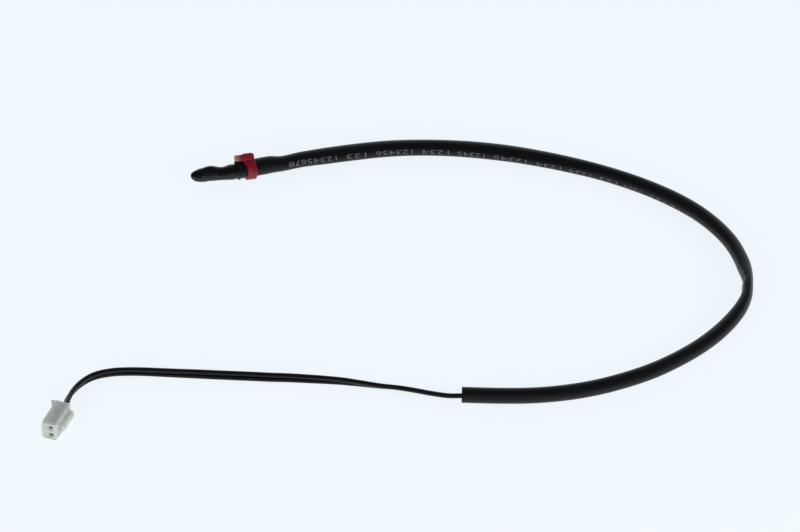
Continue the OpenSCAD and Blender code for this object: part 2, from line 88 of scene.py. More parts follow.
# The pair of wires past the sleeve: x, y, z, lean of the pair, half its spread
LEAD_ROUTE = [
    [45, -105.8, 1.45, 49, 0.7], [40.5, -103.7, 1.2, 49, 0.7], [36, -101.5, 1.2, 49, 0.7],
    [31.5, -99.5, 1.2, 48, 0.7], [27, -98, 1.25, 42, 0.7], [22, -96.1, 1.35, 28, 0.7],
    [17.5, -94.4, 1.4, 15, 0.7], [12.5, -92.8, 1.4, 5, 0.7], [8, -91.5, 1.4, -2, 0.7],
    [3, -90.1, 1.4, -8, 0.7], [-2, -88.9, 1.4, -12, 0.7], [-6.5, -87.7, 1.4, -15, 0.7],
    [-11.5, -86.4, 1.4, -15, 0.7], [-16.5, -85.1, 1.4, -14, 0.7], [-21, -83.9, 1.4, -12, 0.7],
    [-26, -82.6, 1.4, -8, 0.7], [-31, -81.3, 1.4, -4, 0.7], [-35.5, -80.1, 1.4, -2, 0.7],
    [-40.5, -79, 1.4, 0, 0.7], [-45.5, -78.5, 1.45, 2, 0.7], [-50.3, -79.3, 1.6, 8, 0.7],
    [-54.1, -81.8, 1.9, 16, 0.7], [-57.3, -85.6, 2.25, 24, 0.75], [-59.1, -89.3, 2.55, 24, 0.95],
]

# The pair inside the sleeve and the plug
PAIR_HALF = 0.7
LEAN_AT_MOUTH = 49
LEAN_ROWS = 4
WIRE_START = 13.1
WIRE_IN_PLUG = 2.5
PLUG_AT = (-59.9, -92.4)
PLUG_TURN = math.radians(-122)
PLUG_MID_Z = 2.7
PITCH = 2.5

# The camera: its height above the horizon, its turn, its distance and what it looks at
CAMERA_ELEVATION = math.radians(41)
CAMERA_TURN = math.radians(-11)
CAMERA_DISTANCE = 1269.84
CAMERA_TARGET = (42.3, -47.97, 0)
CAMERA_LENS = 200
SENSOR_WIDTH = 36
# From and to how far it sees, in metres
CAMERA_CLIP = (0.01, 20)


def linear_rgb(code):
    """A colour written as an sRGB hex value, as the linear numbers that Blender wants."""
    parts = [int(code[i:i + 2], 16) / 255 for i in (1, 3, 5)]
    return tuple(c / 12.92 if c <= 0.04045 else ((c + 0.055) / 1.055) ** 2.4 for c in parts)


def rgba(colour):
    """The colour with full opacity, as a colour socket wants it."""
    return (*colour, 1)


class ProbeSizes(bpy.types.PropertyGroup):
    """Sizes that a user would change."""

    wire_d: bpy.props.FloatProperty(
        name="Wire diameter", description="Diameter of each insulated wire",
        default=1.4 * MM, min=0.5 * MM, max=2 * MM, precision=5, unit="LENGTH")
    sleeve_wall: bpy.props.FloatProperty(
        name="Sleeve wall", description="Wall of the soft sleeve",
        default=0.45 * MM, min=0.2 * MM, max=0.8 * MM, precision=5, unit="LENGTH")
    strap_w: bpy.props.FloatProperty(
        name="Strap width", description="Width of the cable tie's strap",
        default=2.8 * MM, min=1.5 * MM, max=4 * MM, precision=5, unit="LENGTH")
    strap_t: bpy.props.FloatProperty(
        name="Strap thickness", description="Thickness of the cable tie's strap",
        default=0.75 * MM, min=0.4 * MM, max=1.2 * MM, precision=5, unit="LENGTH")
    digit_h: bpy.props.FloatProperty(
        name="Digit height", description="Height of the plain numbers printed on the sleeve",
        default=1.7 * MM, min=0.5 * MM, max=3 * MM, precision=5, unit="LENGTH")
    plug_edge: bpy.props.FloatProperty(
        name="Plug edge", description="Radius of the plug's moulded edges",
        default=0.09 * MM, min=0.01 * MM, max=0.2 * MM, precision=5, unit="LENGTH")


class ProbeColours(bpy.types.PropertyGroup):
    """Colours that a user would change."""

    sleeve: bpy.props.FloatVectorProperty(
        name="Sleeve", description="Colour of the soft sleeve", subtype="COLOR",
        default=linear_rgb("#0f0f10"), min=0, max=1)
    wire: bpy.props.FloatVectorProperty(
        name="Wires", description="Colour of the wires' insulation", subtype="COLOR",
        default=linear_rgb("#0e0d0e"), min=0, max=1)
    resin: bpy.props.FloatVectorProperty(
        name="Resin", description="Colour of the tip's resin", subtype="COLOR",
        default=linear_rgb("#0a0a0b"), min=0, max=1)
    tie: bpy.props.FloatVectorProperty(
        name="Cable tie", description="Colour of the cable tie", subtype="COLOR",
        default=linear_rgb("#8c1424"), min=0, max=1)
    plug: bpy.props.FloatVectorProperty(
        name="Plug", description="Colour of the plug's housing", subtype="COLOR",
        default=linear_rgb("#dce1d8"), min=0, max=1)
    print_ink: bpy.props.FloatVectorProperty(
        name="Print", description="Colour of the plain numbers on the sleeve", subtype="COLOR",
        default=linear_rgb("#76797d"), min=0, max=1)
    floor: bpy.props.FloatVectorProperty(
        name="Floor", description="Colour of the floor and the backdrop", subtype="COLOR",
        default=linear_rgb("#eff6fb"), min=0, max=1)


def add_node(tree, kind, settings=None, inputs=None):
    """Adds a node, sets its properties, and fills or links its sockets."""
    made = tree.nodes.new(kind)
    for name, value in (settings or {}).items():
        setattr(made, name, value)
    for name, value in (inputs or {}).items():
        if isinstance(value, bpy.types.NodeSocket):
            tree.links.new(value, made.inputs[name])
        else:
            made.inputs[name].default_value = value
    return made


def new_material(name, shader):
    """A material with only a Principled shader, whose plain sockets are set here."""
    made = bpy.data.materials.new(name)
    made.use_nodes = True
    tree = made.node_tree
    tree.nodes.clear()
    surface = add_node(tree, "ShaderNodeBsdfPrincipled", inputs=shader)
    add_node(tree, "ShaderNodeOutputMaterial", inputs={"Surface": surface.outputs["BSDF"]})
    return made, tree, surface


def place_socket(tree, attribute=None):
    """Where a pattern is read: the straightened tube's own place, or the object's."""
    if attribute:
        return add_node(tree, "ShaderNodeAttribute", {"attribute_name": attribute}).outputs["Vector"]
    return add_node(tree, "ShaderNodeTexCoord").outputs["Object"]


# Places of a Mix node's colour sockets, whose names its other sockets share
MIX_A, MIX_B, MIX_OUT = 6, 7, 2


def grained(name, dark, light, rough, grain, depth, shader=None, attribute=None, stretch=(1, 1, 1)):
    """A material whose colour, gloss and bump vary with one grain of the given size in millimetres."""
    made, tree, surface = new_material(name, shader or {})
    place = add_node(tree, "ShaderNodeMapping", inputs={
        "Vector": place_socket(tree, attribute), "Scale": stretch})
    fine = add_node(tree, "ShaderNodeTexNoise", inputs={
        "Vector": place.outputs["Vector"], "Scale": 1 / (grain * MM), "Detail": 4, "Roughness": 0.6})
    broad = add_node(tree, "ShaderNodeTexNoise", inputs={
        "Vector": place.outputs["Vector"], "Scale": 0.12 / (grain * MM), "Detail": 2})
    colour = add_node(tree, "ShaderNodeMix", {"data_type": "RGBA"}, {
        "Factor": broad.outputs["Fac"], MIX_A: rgba(dark), MIX_B: rgba(light)})
    gloss = add_node(tree, "ShaderNodeMapRange", inputs={
        "Value": broad.outputs["Fac"], "From Min": 0.3, "From Max": 0.7,
        "To Min": rough[0], "To Max": rough[1]})
    bump = add_node(tree, "ShaderNodeBump", inputs={
        "Height": fine.outputs["Fac"], "Strength": 1, "Distance": depth * MM})
    tree.links.new(colour.outputs[MIX_OUT], surface.inputs["Base Color"])
    tree.links.new(gloss.outputs["Result"], surface.inputs["Roughness"])
    tree.links.new(bump.outputs["Normal"], surface.inputs["Normal"])
    return made


def shade_of(colour, factor):
    """The colour made darker or brighter by a factor, up to white."""
    return tuple(min(1, c * factor) for c in colour)


def sleeve_vinyl(colours):
    """Soft PVC, extruded: satin, with faint die lines along its length and a little bloom."""
    return grained(
        "extruded_soft_vinyl", shade_of(colours.sleeve, 0.8), shade_of(colours.sleeve, 1.5),
        (0.3, 0.42), 0.35, 0.004, {"Specular IOR Level": 0.25}, "straight", (1, 1, 0.04))


def wire_vinyl(colours):
    """PVC wire insulation, extruded on the strands: glossier, and its lines run along the wire."""
    return grained(
        "extruded_wire_vinyl", shade_of(colours.wire, 0.8), shade_of(colours.wire, 1.5),
        (0.26, 0.36), 0.25, 0.003, {"Specular IOR Level": 0.3}, "straight", (1, 1, 0.05))


def cured_resin(colours):
    """Epoxy, dipped and cured: a wet gloss over slow waves, with fine dust set in it."""
    return grained(
        "cured_black_epoxy", shade_of(colours.resin, 0.8), shade_of(colours.resin, 1.3),
        (0.16, 0.28), 0.5, 0.004, {"Specular IOR Level": 0.4})


# The painted highlight on the end of the tie's head, a pale pink where light glints off it: from and to
# past the strap's middle, how strong, and its colour
PAINTED_GLINT_FROM, PAINTED_GLINT_TO = -3.7, -2.1
PAINTED_GLINT_SHARE = 0.55
PAINTED_GLINT_COLOUR = "#c9a6a2"


def red_nylon(colours):
    """Nylon 66, moulded and dyed: lets a little light in, with a painted pale highlight at the head's
    end.
    """
    made = grained(
        "moulded_red_nylon", shade_of(colours.tie, 0.8), shade_of(colours.tie, 1.25),
        (0.24, 0.36), 0.3, 0.004,
        {"Subsurface Weight": 0.5, "Subsurface Radius": (1, 0.35, 0.35), "Subsurface Scale": 1 * MM})
    tree = made.node_tree
    surface = next(n for n in tree.nodes if n.type == "BSDF_PRINCIPLED")
    dyed = surface.inputs["Base Color"].links[0].from_socket
    place = add_node(tree, "ShaderNodeSeparateXYZ", inputs={"Vector": place_socket(tree)})
    # Painted highlight: towards the head's end the colour is mixed with a pale pink, where light glints
    # off the nylon
    painted_glint = add_node(tree, "ShaderNodeMapRange", {"interpolation_type": "SMOOTHSTEP"}, {
        "Value": place.outputs["X"],
        "From Min": (TIE_X + PAINTED_GLINT_FROM) * MM, "From Max": (TIE_X + PAINTED_GLINT_TO) * MM,
        "To Min": PAINTED_GLINT_SHARE, "To Max": 0})
    glinted = add_node(tree, "ShaderNodeMix", {"data_type": "RGBA"}, {
        "Factor": painted_glint.outputs["Result"], MIX_A: dyed, MIX_B: rgba(linear_rgb(PAINTED_GLINT_COLOUR))})
    tree.links.new(glinted.outputs[MIX_OUT], surface.inputs["Base Color"])
    return made


def natural_nylon(colours):
    """Undyed nylon, moulded: milky, lets light through, with a fine eroded mould grain."""
    return grained(
        "moulded_natural_nylon", shade_of(colours.plug, 0.94), shade_of(colours.plug, 1.05),
        (0.34, 0.46), 0.12, 0.003,
        {"Subsurface Weight": 1, "Subsurface Radius": (1, 1, 0.97), "Subsurface Scale": 2.2 * MM})


def printed_ink(colours):
    """Pale ink from a print wheel: matt, thin and a little patchy."""
    return grained(
        "printed_pale_ink", shade_of(colours.print_ink, 0.55), shade_of(colours.print_ink, 1.2),
        (0.5, 0.65), 0.3, 0.001)


# Finishes of the pieces that are mostly hidden: dark and light colour, gloss, grain, bump, metal
INNER_FINISHES = {
    # Pressed powder, fired: grey, dry and matt, with a fine grain
    "sintered_ceramic": ("#7d8084", "#9b9ea0", (0.55, 0.7), 0.05, 0.003, 0),
    # A cured drop: dark blue-grey, with a wet gloss
    "bead_epoxy": ("#1f2532", "#323a4c", (0.15, 0.25), 0.3, 0.002, 0),
    # Copper drawn through hot tin: silvery, with a soft shine
    "tinned_copper_wire": ("#b6b5b0", "#d0cfca", (0.25, 0.4), 0.05, 0.001, 1),
    # Solder that froze in the open: silvery and a little rippled
    "soft_solder": ("#a9abad", "#c4c6c8", (0.22, 0.38), 0.12, 0.004, 1),
    # A tube shrunk by heat: dull black
    "shrunk_polyolefin": ("#17171a", "#232327", (0.45, 0.55), 0.15, 0.003, 0),
    # Bare twisted strands: warm metal, broken into fine ridges
    "stranded_copper": ("#a8694a", "#c98a63", (0.28, 0.42), 0.06, 0.006, 1),
    # Stamped strip under a tin layer: a warm pale satin
    "stamped_tinned_brass": ("#cbc5ae", "#e4e0d0", (0.35, 0.5), 0.08, 0.002, 1),
}
INNER_PIECES = {
    "thermistor_chip": "sintered_ceramic",
    "bead_coating": "bead_epoxy",
    "bead_lead_a": "tinned_copper_wire",
    "bead_lead_b": "tinned_copper_wire",
    "solder_joint_a": "soft_solder",
    "solder_joint_b": "soft_solder",
    "joint_tube_a": "shrunk_polyolefin",
    "joint_tube_b": "shrunk_polyolefin",
    "conductor_a": "stranded_copper",
    "conductor_b": "stranded_copper",
    "contact_a": "stamped_tinned_brass",
    "contact_b": "stamped_tinned_brass",
}


def inner_finish(name):
    """Finish of a piece inside the tip, the wires or the plug."""
    dark, light, rough, grain, depth, metal = INNER_FINISHES[name]
    return grained(name, linear_rgb(dark), linear_rgb(light), rough, grain, depth, {"Metallic": metal})


def new_piece(name, bm, material, replaces=(), smooth=True):
    """Turns a bmesh into an object at the origin that rides on the part."""
    mesh = bpy.data.meshes.new(name)
    bm.to_mesh(mesh)
    bm.free()
    for face in mesh.polygons:
        face.use_smooth = smooth
    mesh.materials.append(material)
    made = bpy.data.objects.new(name, mesh)
    bpy.context.scene.collection.objects.link(made)
    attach(made, "root")
    if replaces:
        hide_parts(*replaces)
    return made


# Corners of a spun outline that lie nearer than this, in millimetres, are one
SPIN_MERGE = 1e-4


def spin_round(bm, sides):
    """Spins an outline a full turn round the X axis, and closes its seam and poles."""
    bmesh.ops.spin(
        bm, geom=bm.verts[:] + bm.edges[:], axis=(1, 0, 0), cent=(0, 0, 0),
        steps=sides, angle=2 * math.pi, use_merge=True)
    bmesh.ops.remove_doubles(bm, verts=bm.verts, dist=SPIN_MERGE)
    bmesh.ops.recalc_face_normals(bm, faces=bm.faces)


def cut_along(bm, place, square_to):
    """Cuts the faces that a plane crosses, and takes nothing away."""
    bmesh.ops.bisect_plane(
        bm, geom=bm.verts[:] + bm.edges[:] + bm.faces[:], dist=1e-5,
        plane_co=place, plane_no=square_to)


def smooth_rows(rows, step):
    """Rows along a smooth curve through the given ones, about a step apart."""
    gaps = [math.dist(a[:3], b[:3]) for a, b in zip(rows, rows[1:])]
    slopes = [[(q - p) / g for p, q in zip(a, b)] for a, b, g in zip(rows, rows[1:], gaps)]
    runs = [slopes[0]]
    for i in range(1, len(rows) - 1):
        share = gaps[i - 1] / (gaps[i - 1] + gaps[i])
        runs.append([p * (1 - share) + q * share for p, q in zip(slopes[i - 1], slopes[i])])
    runs.append(slopes[-1])
    made = []
    for i, gap in enumerate(gaps):
        count = max(1, round(gap / step))
        for k in range(count):
            t = k / count
            weights = (
                (1 + 2 * t) * (1 - t) ** 2, t * (1 - t) ** 2 * gap,
                t * t * (3 - 2 * t), t * t * (t - 1) * gap)
            made.append([
                sum(w * v for w, v in zip(weights, values))
                for values in zip(rows[i], runs[i], rows[i + 1], runs[i + 1])])
    return made + [list(rows[-1])]


def across_at(rows, i):
    """Level direction square to the route at row i, to the left of its run."""
    ahead, behind = rows[min(i + 1, len(rows) - 1)], rows[max(i - 1, 0)]
    return Vector((behind[1] - ahead[1], ahead[0] - behind[0], 0)).normalized()


# The soft sleeve over the tip's tail: place past the mouth, shift in Y and Z, width and height
SLEEVE_ON_TAIL = [
    (0, -0.05, 0.05, 5.25, 5.25), (1.5, -0.05, 0, 5.15, 5.15), (3, 0, 0, 4.9, 4.9),
    (4.8, 0.05, 0, 4.9, 4.9), (6.6, 0.25, 0.1, 5.2, 5.1), (8.6, 0.4, 0.1, 5.3, 5.1),
    (10.6, 0.6, 0.1, 5.1, 5)]


def sleeve_rows():
    """The sleeve's rows from its mouth to its cut end, in millimetres."""
    on_tail = [
        [MOUTH_X + x, AXIS_Y + y, AXIS_Z + z, width, height]
        for x, y, z, width, height in SLEEVE_ON_TAIL]
    return on_tail + SLEEVE_ROUTE


def pair_rows(wall, wire_d):
    """Rows of the pair of wires from inside the tip to inside the plug."""
    rows = [
        [x, AXIS_Y, AXIS_Z, 0, PAIR_HALF]
        for x in (NOSE_X + WIRE_START, TAIL_X, TAIL_X + STRAIGHT_RUN)]
    for i, (x, y, z, width, height) in enumerate(SLEEVE_ROUTE):
        left = (len(SLEEVE_ROUTE) - 1 - i) / LEAN_ROWS
        settle = max(0, min(width, height) / 2 - wall - wire_d / 2 - PAIR_HALF)
        rows.append([x, y, z - settle, LEAN_AT_MOUTH * max(0, 1 - left), PAIR_HALF])
    rows += LEAD_ROUTE
    for along in (-STRAIGHT_RUN, 0, WIRE_IN_PLUG):
        rows.append([
            PLUG_AT[0] + along * math.cos(PLUG_TURN), PLUG_AT[1] + along * math.sin(PLUG_TURN),
            PLUG_MID_Z, 0, PITCH / 2])
    return rows


def wire_rows(pair, side, radius):
    """Rows of one wire of the pair: side is 1 for the upper one and -1 for the lower one."""
    made = []
    for i, (x, y, z, lean, half) in enumerate(pair):
        lean = math.radians(lean)
        middle = Vector((x, y, z)) + side * half * (
            across_at(pair, i) * math.sin(lean) + Vector((0, 0, math.cos(lean))))
        made.append([*middle, 2 * radius, 2 * radius])
    return made


def station_matrices(rows):
    """For each row, the matrix that takes a unit circle to its ring, and the length so far."""
    made, run = [], 0.0
    for i, (x, y, z, width, height) in enumerate(rows):
        across, up = across_at(rows, i), Vector((0, 0, 1))
        along = up.cross(across)
        place = Matrix((across * width / 2, up * height / 2, along)).transposed().to_4x4()
        place.translation = Vector((x, y, z))
        if i:
            run += math.dist(rows[i - 1][:3], rows[i][:3])
        made.append((Matrix.Scale(MM, 4) @ place, run))
    return made


def slant_mouth(stations):
    """Cuts the sleeve's mouth at a slant, so that it reaches furthest beside the tie's head."""
    steep = math.tan(MOUTH_SLANT)
    cut = Matrix.Identity(4)
    cut[0][1] = -steep * math.sin(TIE_HEAD_TURN)
    cut[0][2] = -steep * math.cos(TIE_HEAD_TURN)
    middle = Vector((MOUTH_X, AXIS_Y, AXIS_Z)) * MM
    back = Vector((steep * SLEEVE_OVER_TAIL_R * MM, 0, 0))
    matrix, run = stations[0]
    turned = Matrix.Translation(middle + back) @ cut @ Matrix.Translation(-middle) @ matrix
    return [(turned, run)] + stations[1:]


def sweep(stations, segments, capped, swell=None):
    """A tube through the stations, whose vertices keep their place on the straightened tube."""
    bm = bmesh.new()
    bmesh.ops.create_circle(bm, cap_ends=False, segments=segments, radius=1)
    straight = bm.verts.layers.float_vector.new("straight")
    ring = list(bm.verts)
    edges = list(bm.edges)
    swollen = []
    placed = Matrix.Identity(4)
    for i, (matrix, run) in enumerate(stations):
        if i:
            grown = bmesh.ops.extrude_edge_only(bm, edges=edges)["geom"]
            ring = [g for g in grown if isinstance(g, bmesh.types.BMVert)]
            fresh = set(ring)
            edges = [g for g in grown if isinstance(g, bmesh.types.BMEdge) and set(g.verts) <= fresh]
        bmesh.ops.transform(bm, matrix=matrix @ placed.inverted(), verts=ring)
        placed = matrix
        radii = matrix.col[0].length, matrix.col[1].length
        back = matrix.inverted()
        for v in ring:
            local = back @ v.co
            v[straight] = (local.x * radii[0], local.y * radii[1], run * MM)
            if swell:
                swollen.append((v, matrix @ (local * swell(run, local))))
    for v, place in swollen:
        v.co = place
    if capped:
        bmesh.ops.holes_fill(bm, edges=[e for e in bm.edges if e.is_boundary], sides=0)
    bmesh.ops.recalc_face_normals(bm, faces=bm.faces)
    return bm


# How fine the tubes are: the step along them in millimetres, and their sides
SLEEVE_STEP, SLEEVE_SIDES = 0.6, 40
WIRE_STEP, WIRE_SIDES = 1.2, 20
# Width of the soft edges where the sleeve is cut
CUT_EDGE = 0.06
# Where the sleeve folds, and the waves on its inner side there: place past the fold, reach and
# height, as a share of the sleeve's half width
FOLD_AT = (137.3, -76.4, 2.6)
FOLD_WAVES = [(-5, 4, 0.1), (0, 0.6, -0.24), (2.9, 2.4, 0.24)]
# How fast those waves fade from the inner side towards the outer one
FOLD_FADE = 1.5
# Waves round the cut mouth: how many, their height, and how soon they fade along the sleeve
MOUTH_WAVES = [(3, 0.03, 2.0), (7, 0.015, 1.0)]


def sleeve_stations():
    """Stations along the whole sleeve, all square to its middle line."""
    return station_matrices(smooth_rows(sleeve_rows(), SLEEVE_STEP))


def sleeve_swell(stations):
    """How the soft wall stands out or in at a place: creased at the fold and wavy at the mouth."""
    fold_run = min(
        stations, key=lambda station: math.dist(station[0].translation, Vector(FOLD_AT) * MM))[1]

    def swell(run, local):
        inner = max(0, -local.x) ** FOLD_FADE
        fold = sum(
            high * math.exp(-((run - fold_run - at) / reach) ** 2)
            for at, reach, high in FOLD_WAVES)
        turn = math.atan2(local.y, local.x)
        rim = sum(
            high * math.sin(count * turn) * math.exp(-run / fade)
            for count, high, fade in MOUTH_WAVES)
        return 1 + inner * fold + rim

    return swell


class PROBE_OT_sleeve(bpy.types.Operator):
    """Adds the soft sleeve with its fold, as a hollow tube"""

    bl_idname = "probe.sleeve"
    bl_label = "Sleeve"

    def execute(self, context):
        sizes, colours = context.scene.probe_sizes, context.scene.probe_colours
        stations = slant_mouth(sleeve_stations())
        bm = sweep(stations, SLEEVE_SIDES, capped=False, swell=sleeve_swell(stations))
        made = new_piece("outer_sleeve_tube", bm, sleeve_vinyl(colours), ["outer_sleeve"])
        wall = made.modifiers.new("wall", "SOLIDIFY")
        wall.thickness, wall.offset = sizes.sleeve_wall, -1
        edge = made.modifiers.new("cut_edge", "BEVEL")
        edge.width, edge.segments, edge.limit_method = CUT_EDGE * MM, 2, "ANGLE"
        return {"FINISHED"}


class PROBE_OT_wires(bpy.types.Operator):
    """Adds the two insulated wires from the tip to the plug"""

    bl_idname = "probe.wires"
    bl_label = "Wires"

    def execute(self, context):
        sizes, colours = context.scene.probe_sizes, context.scene.probe_colours
        vinyl = wire_vinyl(colours)
        radius = sizes.wire_d / 2 / MM
        pair = pair_rows(sizes.sleeve_wall / MM, sizes.wire_d / MM)
        for node, core, side in (("wire_a", "conductor_a", 1), ("wire_b", "conductor_b", -1)):
            stations = station_matrices(smooth_rows(wire_rows(pair, side, radius), WIRE_STEP))
            bm = sweep(stations, WIRE_SIDES, capped=True)
            made = new_piece(node + "_insulation", bm, vinyl, [node])
        return {"FINISHED"}


# The tip's outline: distance from the nose and radius, in millimetres
NOSE_FROM = 0.4
NOSE_R = 2.0
NOSE_LEN = 3.5
TIP_OUT = 13.6
TAIL_R = 1.9
TIP_OUTLINE = [
    (NOSE_FROM + NOSE_LEN, NOSE_R), (4.8, 2.1), (7.2, 2.12), (9.8, 1.94), (12.7, 2.29), (TIP_OUT, 2.2),
    (TIP_OUT + 1.2, TAIL_R), (TIP_OUT + TIP_TAIL, TAIL_R)]
# How far below the axis the whole underside lies, straight and level
TIP_BOTTOM_R = 2.24
# How fine the tip is: points over the nose, points in each wave, and sides
NOSE_STEPS = 20
WAVE_STEPS = 12
TIP_SIDES = 96
# Slow waves of the cured resin: how often in a millimetre, and height as a share of the radius
RESIN_WAVES = [(0.55, 0.05), (1.6, 0.02)]
# Before the sleeve's mouth, the waves and the straight underside fade over this stretch
RESIN_FADE = 2
# A drop that ran back on top while the resin cured: its place, reach and height
DROP_AT = 5.8
DROP_REACH = 1.8
DROP_HEIGHT = 0.42
# The resin sags where it meets the sleeve: from where, where in full, and where it ends
SAG_FROM, SAG_FULL, SAG_END = 7, 12, TIP_OUT + 1.5
# How far it sags to the front, and how far down
SAG_FORWARD = 0.35
SAG_DOWN = 0.12
# Pimples where dust set in the resin: distance from the nose, turn to the front, reach and height
PIMPLES = [(3.8, 60, 0.35, 0.14), (12.4, 62, 0.45, 0.12), (2, 75, 0.3, 0.06)]


def tip_profile():
    """Points of the tip's outline: a long round nose, then half waves between the named radii."""
    turns = [math.pi / 2 * k / NOSE_STEPS for k in range(NOSE_STEPS)]
    points = [(NOSE_FROM + NOSE_LEN * (1 - math.cos(a)), NOSE_R * math.sin(a)) for a in turns]
    for (x, r), (next_x, next_r) in zip(TIP_OUTLINE, TIP_OUTLINE[1:]):
        for k in range(WAVE_STEPS):
            t = k / WAVE_STEPS
            points.append((x + (next_x - x) * t, r + (next_r - r) * (1 - math.cos(math.pi * t)) / 2))
    return points + [TIP_OUTLINE[-1], (TIP_OUTLINE[-1][0], 0)]


def radius_at(outline, x):
    """Radius of the tip's outline at a distance from the nose."""
    for (a, r), (b, s) in zip(outline, outline[1:]):
        if a <= x <= b and b > a:
            return r + (s - r) * (x - a) / (b - a)
    return outline[-1][1] if x > outline[-1][0] else 0


def run_resin(v, outline):
    """Moves a point of the spun tip to where the wet resin ran before it cured."""
    x = v.co.x
    shown = max(0, min(1, (TIP_OUT - x) / RESIN_FADE))
    lump = sum(noise.noise(v.co * often) * high for often, high in RESIN_WAVES)
    round_nose = min(1, (x - NOSE_FROM) / NOSE_LEN)
    drop = math.exp(-((x - DROP_AT) / DROP_REACH) ** 2) * max(0, v.co.z / NOSE_R) ** 2
    v.co += Vector((0, v.co.y, v.co.z)) * lump * shown * round_nose
    v.co.z -= (TIP_BOTTOM_R - radius_at(outline, x)) * shown * round_nose
    v.co.z += DROP_HEIGHT * drop
    for at, turn, reach, high in PIMPLES:
        out = Vector((0, -math.sin(math.radians(turn)), math.cos(math.radians(turn))))
        off = (v.co - Vector((at, 0, 0)) - out * radius_at(outline, at)).length
        v.co += out * high * math.exp(-(off / reach) ** 2)
    sag = max(0, min(1, (x - SAG_FROM) / (SAG_FULL - SAG_FROM), SAG_END - x))
    v.co.y -= SAG_FORWARD * sag
    v.co.z -= SAG_DOWN * sag


class PROBE_OT_tip(bpy.types.Operator):
    """Adds the dipped resin tip, straight below and wavy on top"""

    bl_idname = "probe.tip"
    bl_label = "Resin tip"

    def execute(self, context):
        colours = context.scene.probe_colours
        profile = tip_profile()
        bm = bmesh.new()
        verts = [bm.verts.new((x, 0, r)) for x, r in profile]
        for a, b in zip(verts, verts[1:]):
            bm.edges.new((a, b))
        spin_round(bm, TIP_SIDES)
        outline = profile[:-1]
        for v in bm.verts:
            run_resin(v, outline)
        bmesh.ops.transform(
            bm, verts=bm.verts,
            matrix=Matrix.Scale(MM, 4) @ Matrix.Translation((NOSE_X, AXIS_Y, AXIS_Z)))
        made = new_piece("resin_tip", bm, cured_resin(colours), ["tip_coating"])
        finer = made.modifiers.new("finer", "SUBSURF")
        finer.levels = finer.render_levels = 1
        return {"FINISHED"}


# How far the whole tie leans over, and how far its strap is swung off square
TIE_LEAN = math.radians(2)
TIE_SWING = math.radians(10)
# The strap's rounded edges, and its sides
STRAP_EDGE = 0.22
STRAP_SIDES = 72
# The head: length and width, its shift towards the nose, its lowest and highest level, its edges
TIE_HEAD = (5.6, 4.6)
TIE_HEAD_SHIFT = 1.1
TIE_HEAD_FROM = SLEEVE_OVER_TAIL_R + 0.05
TIE_HEAD_TO = SLEEVE_OVER_TAIL_R + 1.9
TIE_EDGE = 0.3
# The head narrows to a round nose: how long that is, by how much it narrows, and in how many steps
TIE_NOSE = 1.6
TIE_NARROW = 0.4
TIE_NOSE_STEPS = 5
# The neck from the strap to the head: its lowest level, how much narrower, and its overlap
NECK_FROM = 1.4
NECK_NARROWER = 0.3
NECK_OVERLAP = 0.2
# Height of the strap's cut end, half of it sunk in the head, and the edges of this and the neck
STRAP_END = 0.5
SMALL_EDGE = 0.1


def tie_place(swing=0):
    """From the tie's own frame, whose Z runs to the middle of the head, to the part's."""
    lean = Matrix.Identity(4)
    lean[0][1] = -math.tan(swing)
    lean[0][2] = -math.tan(TIE_LEAN)
    return (
        Matrix.Scale(MM, 4) @ Matrix.Translation((TIE_X, AXIS_Y, AXIS_Z))
        @ Matrix.Rotation(-TIE_HEAD_TURN, 4, "X") @ lean)


class PROBE_OT_tie(bpy.types.Operator):
    """Adds the cable tie: a round strap, its head, and the strap's cut end"""

    bl_idname = "probe.tie"
    bl_label = "Cable tie"

    def execute(self, context):
        sizes, colours = context.scene.probe_sizes, context.scene.probe_colours
        width, thick = sizes.strap_w / MM, sizes.strap_t / MM
        red = red_nylon(colours)
        new_piece("tie_strap", tie_strap(width, thick), red, ["cable_tie"])
        new_piece("tie_head", tie_head(width, thick), red)
        return {"FINISHED"}


def tie_strap(width, thick):
    """The strap: a band with rounded edges, closed round the sleeve."""
    bm = bmesh.new()
    low, high = SLEEVE_OVER_TAIL_R, SLEEVE_OVER_TAIL_R + thick
    corners = [(-width / 2, low), (width / 2, low), (width / 2, high), (-width / 2, high)]
    bm.faces.new([bm.verts.new((x, 0, z)) for x, z in corners])
    bmesh.ops.bevel(
        bm, geom=bm.verts[:], offset=STRAP_EDGE, segments=3, profile=0.5, affect="VERTICES", material=-1)
    bmesh.ops.delete(bm, geom=bm.faces[:], context="FACES_ONLY")
    spin_round(bm, STRAP_SIDES)
    bmesh.ops.transform(bm, matrix=tie_place(TIE_SWING), verts=bm.verts)
    return bm


